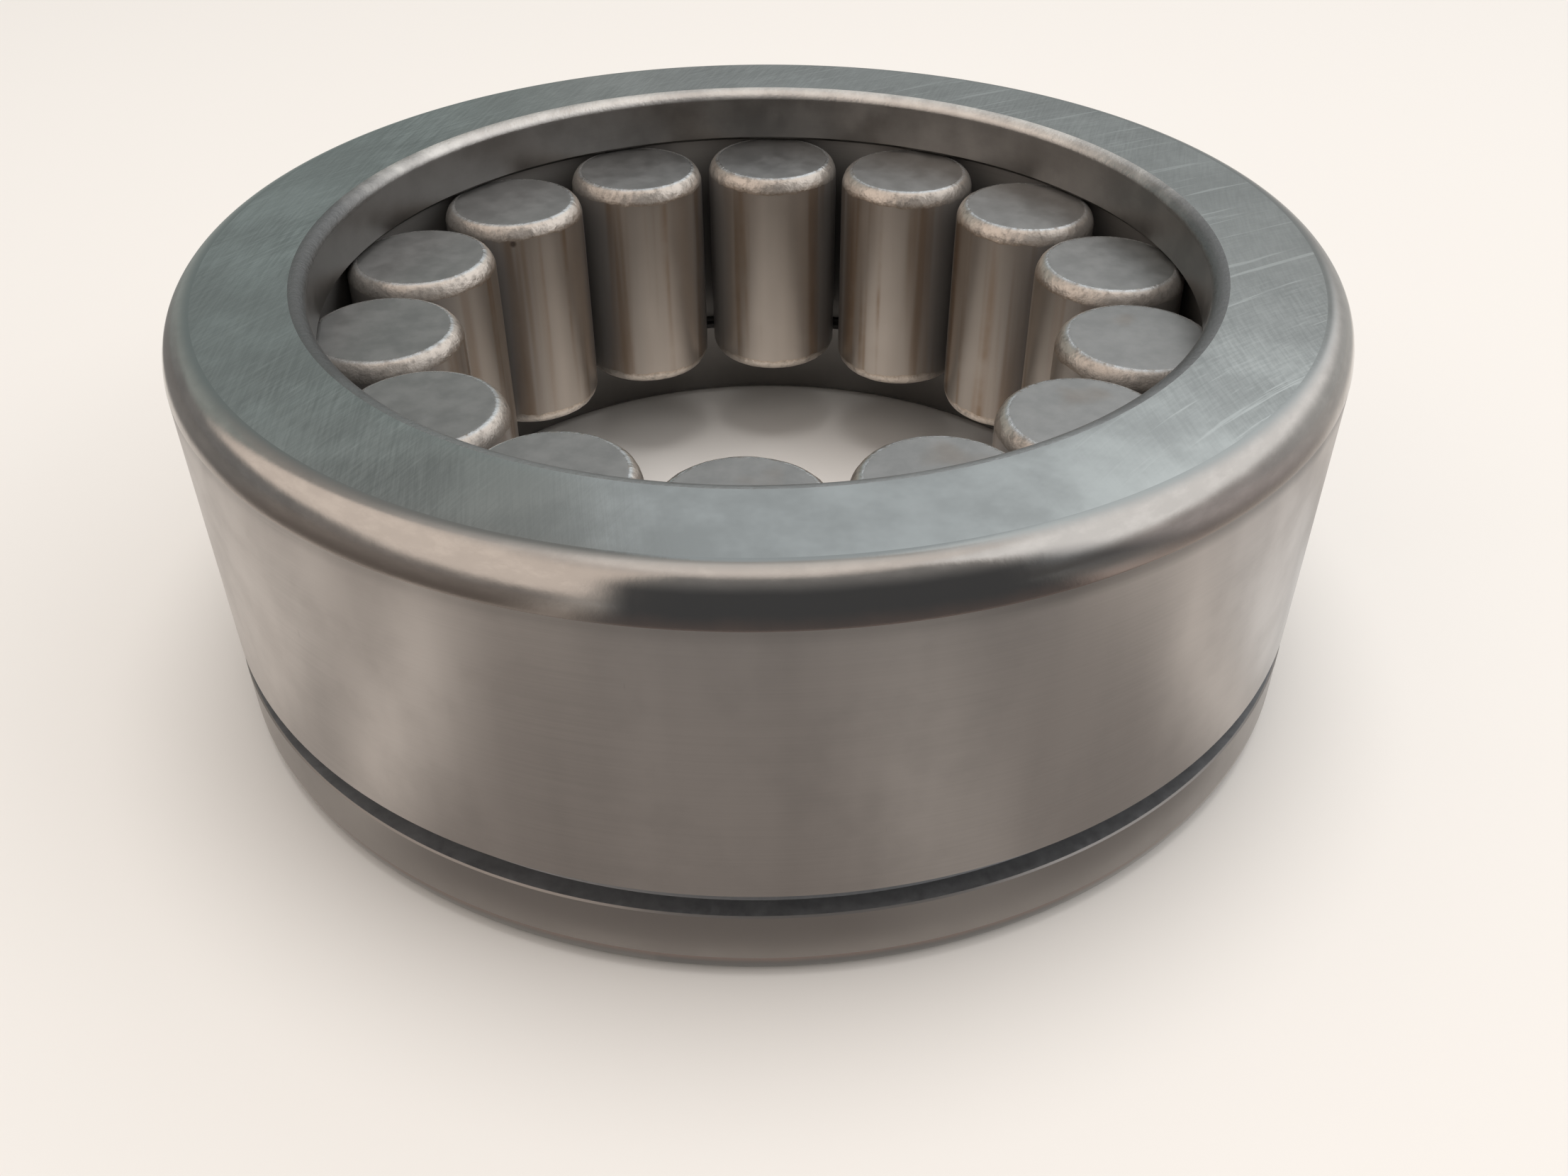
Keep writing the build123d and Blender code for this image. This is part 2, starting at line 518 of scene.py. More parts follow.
def tumbled_corner(looks):
    """Outer corner: smooth, tumbled steel that darkens with scale towards the outside, under
    painted shade over the front, round the bottom corner and next to the end face.
    """
    recipe = Recipe("tumbled_ring_corner")
    place = recipe.place()
    where = recipe.attribute("corner_place")
    blotches = recipe.clouds(place, 0.35, 4.0, 0.6, 7.0)
    wiped = recipe.clouds(recipe.stretched(place, 0.5, 1.6), 1.0, 4.0, 0.6, 15.0)
    wander = recipe.math("ADD", where, recipe.times(blotches, 0.16))
    base = looks.corner_colour
    bright = recipe.blend(blotches, shade(base, 0.88), shade(base, 1.12))
    streaked = recipe.times(recipe.ease(wiped, 0.42, 0.68), 0.5)
    bright = recipe.blend(streaked, bright, shade(base, 1.22))
    brown = recipe.blend(recipe.ease(wander, 0.80, 1.06), bright, BROWN_SCALE)
    dark = recipe.blend(recipe.ease(wander, 0.86, 1.10), GREY_PAINTED_SHADE, BROWN_PAINTED_SHADE)
    # Painted shade: the lower part of the top corner over the front, and the bottom corner all
    # round.
    steel = recipe.blend(painted_corner_shade(recipe, place, where, blotches), brown, dark)
    # Painted shade: next to the end face the corner is darkened towards the face's colour, which
    # takes out a reflected highlight line there.
    edge = recipe.ease(where, 0.02, 0.30)
    steel = recipe.blend(edge, shade(looks.face_colour, 0.78), steel)
    relief = recipe.bump(recipe.clouds(place, 1.1, 4.0, 0.6, 3.0), 0.25, 0.03)
    recipe.brushed_round(0.3)
    return recipe.finish(steel, recipe.spread(blotches, 0.12, 0.19), relief)


def ground_land(looks):
    """Outside: centreless-ground satin with fine lines round it and soft upright bands, darker
    below the groove and with painted shade under the top corner.
    """
    recipe = Recipe("ground_outside")
    place = recipe.place()
    across, _, up = recipe.split(place)
    bands = recipe.clouds(recipe.stretched(place, 0.11, 0.008), 1.0, 3.0, 0.5, 5.0)
    lines = recipe.clouds(recipe.stretched(place, 0.05, 5.0), 1.0, 3.0, 0.6, 9.0)
    mottle = recipe.clouds(place, 0.22, 5.0, 0.6, 6.0)
    marks = recipe.clouds(recipe.stretched(place, 1.6, 0.28), 1.0, 2.0, 0.5, 12.0)
    base = looks.land_colour
    steel = recipe.blend(recipe.spread(bands), shade(base, 0.88), shade(base, 1.1))
    for cover, factor in (
        (recipe.times(recipe.spread(lines), 0.22), 1.2),
        (recipe.times(recipe.ease(mottle, 0.45, 0.75), 0.35), 0.82),
        (recipe.times(recipe.ease(marks, 0.74, 0.80), 0.5), 0.6),
    ):
        steel = recipe.blend(cover, steel, shade(base, factor))
    steel = recipe.blend(recipe.ease(up, *BELOW_GROOVE), shade(base, 0.68), steel)
    # Painted shade on the top of the outside, under the top corner, darker towards +X.
    strip = recipe.times(recipe.ease(up, *UNDER_CORNER),
                         recipe.ease(across, *STRIP_DARKENS, 0.3, 0.8))
    steel = recipe.blend(strip, steel, shade(base, 0.5))
    recipe.brushed_round(0.6)
    return recipe.finish(steel, recipe.spread(mottle, 0.30, 0.36), recipe.bump(lines, 0.16, 0.012))


def groove_scale(looks):
    """Groove: black scale left from hardening."""
    recipe = Recipe("groove_black_scale")
    flakes = recipe.clouds(recipe.place(), 1.8, 5.0, 0.65, 2.0)
    base = looks.scale_colour
    steel = recipe.blend(flakes, shade(base, 0.7), shade(base, 1.5))
    return recipe.finish(steel, recipe.spread(flakes, 0.45, 0.6), recipe.bump(flakes, 0.3, 0.03))


def turned_bore(looks):
    """Rib bore: fine turning lines under a dull film, with painted shade on its -X side and on the
    lower rib, and a corner painted light at the front, shaded at the sides and highlighted at the
    back.
    """
    recipe = Recipe("turned_rib_bore")
    place = recipe.place()
    across, along, up = recipe.split(place)
    where = recipe.attribute("corner_place")
    lines = recipe.clouds(recipe.stretched(place, 0.04, 6.0), 1.0, 3.0, 0.6, 3.0)
    film = recipe.clouds(place, 0.3, 5.0, 0.6, 8.0)
    base = looks.bore_colour
    steel = recipe.blend(recipe.spread(film), shade(base, 0.85), shade(base, 1.12))
    steel = recipe.blend(recipe.times(lines, 0.25), steel, shade(base, 0.7))
    # Painted shade, darker towards -X.
    steel = recipe.blend(recipe.ease(across, *LEFT_SHADE_THINS, 0.42, 0.0), steel, shade(base, 0.45))

    # The corner's painted light: face-like at the front, painted shade at the sides and a painted
    # highlight at the back.
    corner_light_place = recipe.math("ADD", along, recipe.times(film, 14.0))
    dull = recipe.blend(recipe.ease(corner_light_place, *FRONT_CORNER_ENDS), FRONT_CORNER_LIGHT, SIDE_CORNER_SHADE)
    bright = recipe.blend(recipe.ease(film, 0.35, 0.65), *BACK_CORNER_HIGHLIGHT)
    corner = recipe.blend(recipe.ease(corner_light_place, *BACK_CORNER_BEGINS), dull, bright)
    steel = recipe.blend(recipe.ease(where, 0.06, 0.45), steel, corner)
    # Painted shade on the lower rib, under the rollers.
    steel = recipe.blend(recipe.ease(up, *LOWER_RIB_SHADE_ENDS, 0.75, 0.0), steel, shade(base, 0.35))

    rough = recipe.clouds(place, 1.9, 4.0, 0.65, 5.0)
    dents = recipe.times(rough, recipe.ease(where, 0.0, 0.2))
    relief = recipe.bump(lines, 0.22, 0.015, recipe.bump(dents, 0.7, 0.12))
    recipe.brushed_round(0.3)
    return recipe.finish(steel, recipe.spread(film, 0.34, 0.44), relief)


def ground_raceway(looks):
    """Raceway: ground steel under a thin dull film, painted lighter near the top and darker with
    painted shade further down.
    """
    recipe = Recipe("ground_raceway")
    place = recipe.place()
    lines = recipe.clouds(recipe.stretched(place, 0.05, 7.0), 1.0, 3.0, 0.6, 14.0)
    base = looks.bore_colour
    # Painted light near the top and painted shade further down.
    steel = recipe.blend(lines, shade(base, 1.3), shade(base, 1.6))
    lit = recipe.ease(recipe.split(place)[2], *RACEWAY_LIGHTENS)
    steel = recipe.blend(lit, shade(base, 0.36), steel)
    recipe.steel.inputs["Metallic"].default_value = 0.7
    recipe.brushed_round(0.5)
    return recipe.finish(steel, 0.42, recipe.bump(lines, 0.12, 0.01))


# ---------------------------------------------------------------- outer ring

FACE, CORNER, LAND, GROOVE, BORE, RACEWAY = range(6)


def ring_section(looks):
    """Draw the ring's section, counter-clockwise from the bore edge of the lower face."""
    outside = RING_HIGH.x
    top = RING_HIGH.z
    foot = RING_LOW.z
    bore = looks.bore_radius
    bore_edge = bore + looks.bore_corner_depth
    foot_edge = outside - looks.foot_corner_depth
    section = Section()
    section.run(FACE, [(radius, foot) for radius in np.linspace(bore_edge, foot_edge, num=7)])
    corner = quarter((foot_edge, foot + looks.foot_corner), looks.foot_corner_depth,
                     looks.foot_corner, start=270, steps=16)
    section.run(CORNER, corner, np.linspace(0, 1, len(corner)).tolist())

    groove_low = foot + looks.groove_height
    groove_high = groove_low + looks.groove_width
    root = outside - looks.groove_depth
    edge, root_break = looks.groove_break, looks.groove_root
    section.run(LAND, [(outside, foot + looks.foot_corner), (outside, groove_low - edge)])
    section.run(LAND, [(outside - edge, groove_low)])
    section.run(GROOVE, [
        (root + root_break, groove_low),
        (root, groove_low + root_break),
        (root, groove_high - root_break),
        (root + root_break, groove_high),
        (outside - edge, groove_high),
    ])
    top_edge = outside - looks.lead_in_depth
    corner = ground_off((top_edge, top), (outside, top - looks.lead_in), start=8, steps=28)
    section.run(LAND, [(outside, groove_high + edge), corner[0]])
    section.run(CORNER, corner, (1 - np.linspace(0, 1, len(corner))).tolist())
    section.run(FACE, [(radius, top) for radius in np.linspace(top_edge, bore_edge, num=9)])
    corner = quarter((bore_edge, top - looks.bore_corner), looks.bore_corner_depth,
                     looks.bore_corner, start=90, steps=14)
    section.run(BORE, corner, (1 - np.linspace(0, 1, len(corner))).tolist())

    high, low, race = looks.upper_rib_face, looks.lower_rib_face, looks.raceway_radius
    rib, relief = looks.rib_break, looks.relief
    section.run(BORE, [
        (bore, high + rib),
        (bore + rib, high),
        (race - relief, high),
        (race, high + relief),
        (race + relief, high),
        (race, high - relief),
    ])
    section.run(RACEWAY, [(race, low + relief)])
    section.run(BORE, [
        (race + relief, low),
        (race, low - relief),
        (race - relief, low),
        (bore + rib, low),
        (bore, low - rib),
        (bore, foot + looks.bore_corner),
    ])
    corner = quarter((bore_edge, foot + looks.bore_corner), looks.bore_corner_depth,
                     looks.bore_corner, start=180, steps=10)
    section.run(BORE, corner)
    section.close()
    return section


def turned_rows(points, segments):
    """Rows of points from a section turned about Z."""
    angles = np.arange(segments) * 2 * pi / segments
    points = np.array(points)
    radii, heights = points[:, :1], points[:, 1:]
    return np.stack([
        radii * np.cos(angles),
        radii * np.sin(angles),
        np.repeat(heights, segments, 1),
    ], 2)


class BEARING_OT_outer_ring(bpy.types.Operator):
    """Build the outer ring with its ground faces, corners, groove and bore"""

    bl_idname = "bearing.outer_ring"
    bl_label = "Outer ring"

    def execute(self, context):
        looks = context.scene.bearing_ring
        section = ring_section(looks)
        rows = turned_rows(section.points, looks.segments)
        mesh = turned_mesh("outer_ring_steel", rows, section.finishes, section.places, True)
        finishes = [
            ground_face(looks),
            tumbled_corner(looks),
            ground_land(looks),
            groove_scale(looks),
            turned_bore(looks),
            ground_raceway(looks),
        ]
        ring = add_piece("outer_ring_steel", mesh, finishes)
        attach(ring, RING_NODE)
        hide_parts(RING_NODE)
        return {"FINISHED"}


# ---------------------------------------------------------------- rollers

END, ROLLER_CORNER, BODY = range(3)

# A roller's end is drawn as rings at these parts of its radius. Its corner is a part of an
# elliptic quarter, drawn in steps, that stops short so that its edge on the body shows.
END_RINGS = (0.12, 0.4, 0.65, 0.85, 0.96)
CORNER_STEPS = 16
CORNER_SWEEP = pi / 2 * 0.86

# Painted highlight along the rim of a roller's corner by its end.
PAINTED_RIM_HIGHLIGHT = (0.74, 0.76, 0.77)
OILY_FOOT = (0.42, 0.33, 0.25)
# Colours of painted shade between neighbouring rollers, on corner and body, and below them how far
# in millimetres that shade reaches.
CORNER_GAP_SHADE = (0.20, 0.19, 0.18)
BODY_GAP_SHADE = (0.17, 0.17, 0.175)
RUSTY_PIT = (0.10, 0.075, 0.06)
GAP_SHADE_REACH = 6.0


def roller_end(looks):
    """Roller end: flat satin steel with a faint stain."""
    recipe = Recipe("satin_roller_end")
    place = recipe.place()
    number = recipe.number()
    mottle = recipe.clouds(place, 0.5, 5.0, 0.6, number)
    grain = recipe.clouds(place, 4.0, 3.0, 0.6, number)
    stain = recipe.ease(recipe.clouds(place, 0.16, 2.0, 0.5, number), 0.64, 0.76)
    base = looks.end_colour
    steel = recipe.blend(recipe.spread(mottle), shade(base, 0.88), shade(base, 1.1))
    steel = recipe.blend(recipe.times(stain, 0.25), steel, tuple(looks.stain_colour))
    return recipe.finish(steel, recipe.spread(mottle, 0.36, 0.44), recipe.bump(grain, 0.2, 0.01))


def roller_corner_steel(looks):
    """Roller corner: tumbled, lumpy and brighter than the ground surfaces beside it, with a painted
    highlight on its rim and painted shade where other rollers stand close.
    """
    recipe = Recipe("tumbled_roller_corner")
    place = recipe.place()
    number = recipe.number()
    where = recipe.attribute("corner_place")
    lumps = recipe.clouds(place, 1.7, 4.0, 0.6, number)
    grain = recipe.clouds(place, 5.5, 2.0, 0.5, number)
    base = looks.corner_colour
    # Painted highlight on the rim next to the end face.
    rim = recipe.blend(recipe.ease(where, 0.0, 0.12), tuple(looks.end_colour), PAINTED_RIM_HIGHLIGHT)
    steel = recipe.blend(recipe.ease(where, 0.12, 0.36), rim, tuple(base))
    steel = recipe.blend(recipe.ease(lumps, 0.46, 0.74), steel, shade(base, 0.55))
    foot = recipe.math("ADD", where, recipe.times(grain, 0.35))
    steel = recipe.blend(recipe.times(recipe.ease(foot, 0.95, 1.2), 0.7), steel, OILY_FOOT)
    # Painted shade where other rollers stand close; the same mask lets the steel scatter more
    # there.
    gap_shade = recipe.crowded(GAP_SHADE_REACH, 0.50, 1.0)
    recipe.dulled(gap_shade, 0.5)
    steel = recipe.blend(recipe.times(gap_shade, 0.85), steel, CORNER_GAP_SHADE)
    relief = recipe.bump(lumps, 0.8, 0.13, recipe.bump(grain, 0.4, 0.03))
    roughness = recipe.math("ADD", recipe.ease(where, 0.06, 0.5, 0.24, 0.37),
                            recipe.spread(lumps, 0.0, 0.05))
    return recipe.finish(steel, roughness, relief)


def roller_body(looks):
    """Roller body: satin ground steel with upright bands, oil streaks and a few pits, and painted
    shade where other rollers stand close.
    """
    recipe = Recipe("ground_roller_body")
    place = recipe.place()
    number = recipe.number()
    bands = recipe.clouds(recipe.stretched(place, 0.26, 0.014), 1.0, 2.0, 0.5, number)
    wander = recipe.clouds(place, 0.25, 3.0, 0.5, number)
    waved = recipe.vector("ADD", recipe.stretched(place, 0.62, 0.02), (7.0, 3.0, 0.0))
    streaks = recipe.clouds(waved, 1.0, 2.0, 0.5, number)
    streak = recipe.times(recipe.ease(streaks, 0.52, 0.72),
                          recipe.ease(wander, 0.3, 0.62, 0.15, 0.85))
    cells = recipe.node("TexVoronoi", {"Vector": place, "Scale": 0.13, "W": number},
                        voronoi_dimensions="4D").outputs["Distance"]
    pits = recipe.ease(cells, 0.022, 0.055, 1.0, 0.0)
    lines = recipe.clouds(recipe.stretched(place, 0.2, 9.0), 1.0, 2.0, 0.6, number)
    base = looks.body_colour
    steel = recipe.blend(recipe.spread(bands), shade(base, 0.84), shade(base, 1.12))
    steel = recipe.blend(streak, steel, tuple(looks.stain_colour))
    steel = recipe.blend(pits, steel, RUSTY_PIT)
    # Painted shade where other rollers stand close; the same mask lets the steel scatter more
    # there.
    gap_shade = recipe.crowded(GAP_SHADE_REACH, 0.38, 1.0)
    halfway = recipe.times(gap_shade, recipe.math("SUBTRACT", 1.0, gap_shade))
    amber = recipe.times(halfway, recipe.ease(streaks, 0.42, 0.58, 0.0, 3.6))
    steel = recipe.blend(amber, steel, shade(looks.stain_colour, 0.9))
    steel = recipe.blend(recipe.times(gap_shade, 0.7), steel, BODY_GAP_SHADE)
    height = recipe.math("SUBTRACT", recipe.times(lines, 0.05), pits)
    relief = recipe.bump(height, 0.2, 0.03)
    roughness = recipe.math("ADD", recipe.spread(wander, 0.34, 0.40), recipe.times(streak, 0.05))
    recipe.dulled(gap_shade, 0.5)
    recipe.brushed_round(0.5)
    return recipe.finish(steel, roughness, relief)


def ragged(angle, number, end):
    """From -1 to 1: how a tumbled corner's edge wanders round a roller."""
    turned = Vector((cos(angle), sin(angle), 0.0))
    seed = Vector((0.0, 0.0, 7.3 * number + 31.7 * end))
    slow = noise.noise(turned * 1.6 + seed)
    fast = noise.noise(turned * 7.0 + seed)
    fine = noise.noise(turned * 19.0 + seed)
    return slow * 0.8 + fast * 0.75 + fine * 0.4


def roller_rows(looks, radius, height, number):
    """Rows of a roller's skin from the foot's middle to the top's, with finish and place."""
    segments = looks.segments
    angles = np.arange(segments) * 2 * pi / segments
    around = np.stack([np.cos(angles), np.sin(angles)], 1)
    end_radius = radius - looks.taper_drop
    face_radius = end_radius - looks.corner_depth
    rows, bands, places = [], [], []

    def add(radii, heights, finish, place):
        flat = around * np.broadcast_to(np.asarray(radii)[..., None], (segments, 1))
        tall = np.broadcast_to(np.asarray(heights, float), (segments,))
        rows.append(np.column_stack([flat, tall]))
        places.append(place)
        bands.append(finish)

    def corner(end):
        """Rows of one tumbled corner, from the end face to its ragged edge on the body."""
        reach = looks.corner_height + looks.raggedness * np.array(
            [ragged(angle, number, end) for angle in angles]
        )
        made = []
        for step in range(CORNER_STEPS + 1):
            part = step / CORNER_STEPS
            bend = CORNER_SWEEP * part
            out = face_radius + looks.corner_depth * sin(bend) / sin(CORNER_SWEEP)
            down = reach * (1 - cos(bend)) / (1 - cos(CORNER_SWEEP))
            hollow = looks.lumps * sin(pi * part) ** 0.7
            dents = np.array([
                noise.noise(Vector((cos(a) * 9, sin(a) * 9, part * 2.2 + 5.1 * number + end)))
                for a in angles
            ])
            made.append((out - hollow * np.clip(dents + 0.25, 0, 1), down, part))
        return made

    low_corner = corner(0)
    high_corner = corner(1)
    for part in END_RINGS:
        add(face_radius * part, 0.0, END, 0.0)
    for out, down, part in low_corner:
        add(out, down, END if part == 0 else ROLLER_CORNER, part)
    low_edge = low_corner[-1][1]
    high_edge = height - high_corner[-1][1]
    low_taper = looks.corner_height + looks.taper_length
    edge_radius = end_radius + looks.taper_drop * 0.01
    beside = 0.01 * MM
    body = [
        (edge_radius, low_edge + beside),
        (radius, np.full(segments, low_taper)),
        (radius, np.full(segments, height - low_taper)),
        (edge_radius, high_edge - beside),
    ]
    for out, heights in body:
        add(out, heights, BODY, 1.0)
    for out, down, part in reversed(high_corner):
        add(out, height - down, BODY if part == 1 else ROLLER_CORNER, part)
    for part in reversed(END_RINGS):
        add(face_radius * part, height, END, 0.0)
    return np.stack(rows), bands[1:], places


class BEARING_OT_rollers(bpy.types.Operator):
    """Build the rollers, each with its own tumbled corners and stains"""

    bl_idname = "bearing.rollers"
    bl_label = "Rollers"

    def execute(self, context):
        looks = context.scene.bearing_rollers
        finishes = [roller_end(looks), roller_corner_steel(looks), roller_body(looks)]
        radius = (ROLLER_HIGH.x - ROLLER_LOW.x) / 2
        for number, node in enumerate(ROLLER_NODES, start=1):
            low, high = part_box(node)
            middle = (low + high) / 2
            rows, bands, places = roller_rows(looks, radius, high.z - low.z, number)
            mesh = turned_mesh(node + "_steel", rows, bands, places, False)
            roller = add_piece(node + "_steel", mesh, finishes)
            roller.location = (middle.x, middle.y, low.z)
            roller.rotation_euler.z = atan2(-middle.y, -middle.x)
            roller.pass_index = number
            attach(roller, node)
            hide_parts(node)
        return {"FINISHED"}


# ---------------------------------------------------------------- stage

WORLD_STRENGTH = 0.90
FLOOR_REACH = 3.0
FLOOR_DROP = 0.02 * MM
CLOTH_LIFT = 0.15 * MM
PANEL_STEP = 2

# Distances in metres between which the floor fades into the plain surroundings.
FLOOR_FADE = (0.32, 0.70)

# Soft lamps: name, place and width in metres, power in watts, tint.
LAMPS = [
    ("soft_overhead_lamp", (0.01, 0.09, 0.84), 0.50, 2.9, (1.0, 0.985, 0.965)),
    ("soft_front_lamp", (0.08, -0.66, 0.60), 0.70, 1.4, (1.0, 0.955, 0.90)),
    ("soft_right_lamp", (0.66, -0.14, 0.54), 0.40, 0.6, (1.0, 0.99, 0.97)),
]

# Soft panels that the steel mirrors, each laid over the ones before it. Azimuths run from +Y
# towards +X, elevations are seen from the ring's top corner and below 0 lie on the floor; both
# are in degrees and come with the softness of their edges. Then linear colour and cover.
PANELS = [
    ((-180, 180, 9), (-16, 90, 6), (0.32, 0.30, 0.28), 0.55),
    ((-180, 180, 9), (0, 90, 3), (0.36, 0.34, 0.32), 1.0),
    ((-180, 180, 9), (56, 90, 12), (0.62, 0.58, 0.55), 1.0),
    ((-70, -9, 9), (-26, 34, 6), (0.24, 0.277, 0.266), 0.9),
    ((-9, 24, 7), (-4, 25, 4), (0.37, 0.385, 0.38), 1.0),
    ((26, 82, 20), (-26, 30, 8), (0.36, 0.37, 0.365), 0.8),
    ((-11, 40, 2), (28, 60, 3), (0.66, 0.68, 0.69), 1.0),
    ((13, 40, 6), (29, 62, 4), (0.98, 1.00, 1.00), 1.0),
    ((34, 128, 6), (14, 68, 10), (0.96, 0.965, 0.97), 1.0),
    ((-180, 180, 9), (70, 90, 6), (0.86, 0.81, 0.77), 1.0),
    ((-154, -72, 5), (4, 62, 12), (0.82, 0.73, 0.66), 1.0),
    ((-112, -50, 12), (-31, 12, 5), (0.13, 0.127, 0.125), 0.9),
    ((-152, -98, 9), (-32, 6, 6), (0.11, 0.09, 0.08), 0.85),
    ((70, 92, 18), (-30, 10, 12), (0.22, 0.215, 0.22), 0.8),
    ((84, 118, 10), (-31, 12, 10), (0.34, 0.31, 0.31), 0.9),
    ((-228, -157, 4), (-35, 62, 5), (0.235, 0.232, 0.23), 1.0),
    ((-131, -121, 6), (-90, -35, 4), (0.30, 0.275, 0.255), 0.5),
    ((-238, -142, 9), (-90, -35, 3), (0.095, 0.081, 0.076), 0.70),
    ((151, 165, 6), (-90, -35, 4), (0.20, 0.185, 0.175), 0.62),
    ((82, 112, 8), (-90, -40, 5), (0.95, 0.94, 0.92), 0.8),
]


def soft_step(value, edge, softness):
    """From 0 to 1 as the value passes the edge."""
    part = np.clip((value - edge + softness) / (2 * softness), 0, 1)
    return part * part * (3 - 2 * part)


def mirrored_colour(azimuth, elevation):
    """Colour and cover of the surroundings in one direction."""
    found = np.zeros(4)
    for (first, last, side), (lowest, highest, rim), glow, cover in PANELS:
        off = abs((azimuth - (first + last) / 2 + 180) % 360 - 180)
        inside = 1.0 if last - first >= 360 else 1 - soft_step(off, (last - first) / 2, side)
        inside *= soft_step(elevation, lowest, rim) if lowest > -90 else 1.0
        inside *= 1 - soft_step(elevation, highest, rim) if highest < 90 else 1.0
        found = found + (np.array([*glow, cover]) - found) * inside
    return found


def surroundings(name, elevations, radius):
    """A mesh of soft panels over these elevations; below 0 they lie on the floor."""
    eye_radius, eye_height = RING_HIGH.x, RING_HIGH.z
    azimuths = np.arange(-180, 180, PANEL_STEP)
    vertices, glow, cover = [], [], []
    for elevation in elevations:
        tilt = radians(elevation)
        reach = radius * cos(tilt)
        height = radius * sin(tilt)
        if elevation < 0:
            reach = eye_radius + eye_height / np.tan(-tilt)
            height = CLOTH_LIFT
        for azimuth in azimuths:
            heading = radians(azimuth)
            vertices.append((reach * sin(heading), reach * cos(heading), height))
            seen = mirrored_colour(azimuth, elevation)
            glow.append((*seen[:3], 1.0))
            cover.append(seen[3])
    around = len(azimuths)
    faces = []
    for row in range(len(elevations) - 1):
        low, high = row * around, (row + 1) * around
        for step in range(around):
            after = (step + 1) % around
            faces.append((low + step, high + step, high + after, low + after))
    mesh = bpy.data.meshes.new(name)
    mesh.from_pydata(vertices, [], faces)
    shades = mesh.attributes.new("glow", "FLOAT_COLOR", "POINT")
    shades.data.foreach_set("color", np.array(glow, np.float32).ravel())
    covers = mesh.attributes.new("cover", "FLOAT", "POINT")
    covers.data.foreach_set("value", np.array(cover, np.float32))
    return mesh


def panel_light():
    """The panels' own glow, let through where the cover is thin."""
    material = bpy.data.materials.new("studio_dome_panels")
    material.use_nodes = True
    tree = material.node_tree
    tree.nodes.clear()
    kinds = ("OutputMaterial", "MixShader", "BsdfTransparent", "Emission", "Attribute", "Attribute")
    output, mix, clear, emission, glow, cover = (tree.nodes.new("ShaderNode" + k) for k in kinds)
    glow.attribute_name = "glow"
    cover.attribute_name = "cover"
    for source, target in (
        (glow.outputs["Color"], emission.inputs["Color"]),
        (cover.outputs["Fac"], mix.inputs["Fac"]),
        (clear.outputs[0], mix.inputs[1]),
        (emission.outputs[0], mix.inputs[2]),
        (mix.outputs[0], output.inputs["Surface"]),
    ):
        tree.links.new(source, target)
    material.cycles.emission_sampling = "NONE"
    return material


def studio_dome(radius):
    """A dome of soft panels that lights the stage, and the cloth that only the steel sees."""
    lowest_row = degrees(np.arctan2(RING_HIGH.z, radius - RING_HIGH.x))
    cloth_rows = [*np.arange(-86, -lowest_row, PANEL_STEP), -lowest_row]
    dome_rows = [*np.arange(0, 90, PANEL_STEP), 89.9]
    light = panel_light()
    for name, rows in (("studio_cloth", cloth_rows), ("studio_dome", dome_rows)):
        piece = add_piece(name, surroundings(name, rows, radius), [light])
        piece.visible_camera = False
        piece.visible_diffuse = name == "studio_dome"
        piece.visible_transmission = False
        piece.visible_volume_scatter = False
        piece.visible_shadow = False


def studio_floor(floor_colour):
    """A plain pale floor under the lower face."""
    mesh = bpy.data.meshes.new("studio_floor")
    signs = [(-1, -1), (1, -1), (1, 1), (-1, 1)]
    corners = [(FLOOR_REACH * x, FLOOR_REACH * y, 0.0) for x, y in signs]
    mesh.from_pydata(corners, [], [(0, 1, 2, 3)])
    material = bpy.data.materials.new("studio_floor_pale")
    material.use_nodes = True
    tree = material.node_tree
    paint = tree.nodes["Principled BSDF"]
    paint.inputs["Base Color"].default_value = (*floor_colour, 1.0)
    paint.inputs["Roughness"].default_value = 0.75
    paint.inputs["Specular IOR Level"].default_value = 0.2
    where = tree.nodes.new("ShaderNodeNewGeometry")
    far = tree.nodes.new("ShaderNodeVectorMath")
    far.operation = "LENGTH"
    fade = tree.nodes.new("ShaderNodeMapRange")
    for key, value in zip(("From Min", "From Max", "To Min", "To Max"), (*FLOOR_FADE, 1.0, 0.0)):
        fade.inputs[key].default_value = value
    tree.links.new(where.outputs["Position"], far.inputs[0])
    tree.links.new(far.outputs["Value"], fade.inputs["Value"])
    tree.links.new(fade.outputs["Result"], paint.inputs["Alpha"])
    floor = add_piece("studio_floor", mesh, [material])
    floor.location.z = RING_LOW.z - FLOOR_DROP


def soft_lamp(name, place, size, power, tint):
    """A soft round lamp aimed at the bearing's middle."""
    data = bpy.data.lights.new(name, "AREA")
    data.shape = "DISK"
    data.size = size
    data.energy = power
    data.color = tint
    lamp = bpy.data.objects.new(name, data)
    lamp.location = place
    aim = Vector((0.0, 0.0, 0.5 * RING_HIGH.z)) - Vector(place)
    lamp.rotation_euler = aim.to_track_quat("-Z", "Y").to_euler()
    lamp.visible_camera = False
    lamp.visible_glossy = False
    bpy.context.scene.collection.objects.link(lamp)


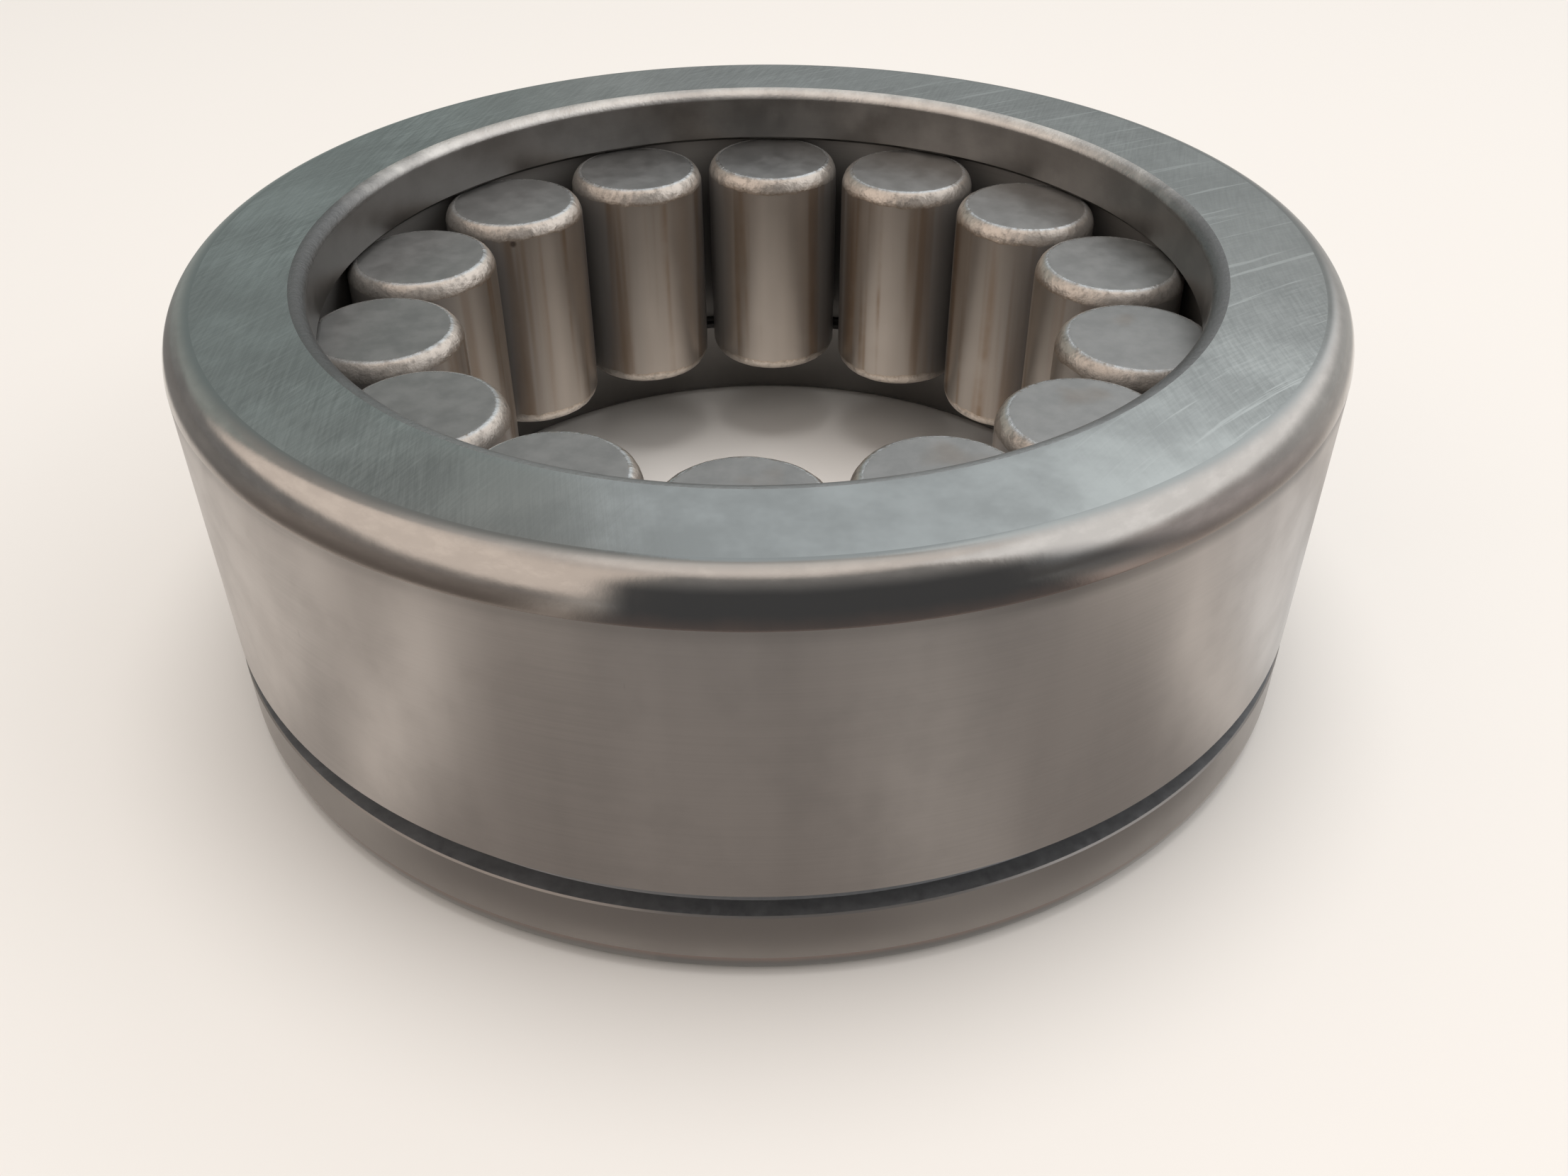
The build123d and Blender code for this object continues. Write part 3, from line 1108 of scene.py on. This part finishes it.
class BEARING_OT_stage(bpy.types.Operator):
    """Set up the floor, the soft light and the camera"""

    bl_idname = "bearing.stage"
    bl_label = "Stage"

    def execute(self, context):
        scene = context.scene
        looks = scene.bearing_studio
        scene.view_settings.view_transform = "Standard"
        world = bpy.data.worlds.new("plain_surroundings")
        world.use_nodes = True
        background = world.node_tree.nodes["Background"]
        background.inputs["Color"].default_value = (*looks.sky_colour, 1.0)
        background.inputs["Strength"].default_value = WORLD_STRENGTH
        scene.world = world
        studio_floor(looks.floor_colour)
        studio_dome(looks.dome_radius)
        for lamp in LAMPS:
            soft_lamp(*lamp)

        camera_data = bpy.data.cameras.new("studio_camera")
        camera_data.lens = looks.lens
        camera_data.sensor_width = 36.0
        camera_data.clip_start = 0.005
        camera_data.clip_end = 20.0
        camera = bpy.data.objects.new("studio_camera", camera_data)
        scene.collection.objects.link(camera)
        heading, pitch = looks.camera_heading, looks.camera_pitch
        view = Vector((cos(heading) * cos(pitch), sin(heading) * cos(pitch), -sin(pitch)))
        aim = view.to_track_quat("-Z", "Y") @ Quaternion((0.0, 0.0, 1.0), looks.camera_roll)
        camera.location = looks.camera_place
        camera.rotation_euler = aim.to_euler()
        scene.camera = camera
        return {"FINISHED"}


# ---------------------------------------------------------------- sidebar and registration


class BEARING_PT_sidebar(bpy.types.Panel):
    """Lists the pieces of the bearing and the stage"""

    bl_idname = "BEARING_PT_sidebar"
    bl_label = "Roller Bearing"
    bl_space_type = "VIEW_3D"
    bl_region_type = "UI"
    bl_category = "Bearing"

    def draw(self, context):
        for group, title, operator in (
            (context.scene.bearing_ring, "Outer ring", BEARING_OT_outer_ring),
            (context.scene.bearing_rollers, "Rollers", BEARING_OT_rollers),
            (context.scene.bearing_studio, "Stage", BEARING_OT_stage),
        ):
            box = self.layout.box()
            box.label(text=title)
            for name in group.__annotations__:
                box.prop(group, name)
            box.operator(operator.bl_idname)


CLASSES = (
    RingLooks,
    RollerLooks,
    StudioLooks,
    BEARING_OT_outer_ring,
    BEARING_OT_rollers,
    BEARING_OT_stage,
    BEARING_PT_sidebar,
)


def register():
    """Make the classes and the scene's settings known."""
    for cls in CLASSES:
        bpy.utils.register_class(cls)
    bpy.types.Scene.bearing_ring = PointerProperty(type=RingLooks)
    bpy.types.Scene.bearing_rollers = PointerProperty(type=RollerLooks)
    bpy.types.Scene.bearing_studio = PointerProperty(type=StudioLooks)


def unregister():
    """Take the classes and the settings away again."""
    del bpy.types.Scene.bearing_studio
    del bpy.types.Scene.bearing_rollers
    del bpy.types.Scene.bearing_ring
    for cls in reversed(CLASSES):
        bpy.utils.unregister_class(cls)


def main():
    """Build everything."""
    register()
    bpy.ops.bearing.stage()
    bpy.ops.bearing.outer_ring()
    bpy.ops.bearing.rollers()


if __name__ == "__main__":
    main()
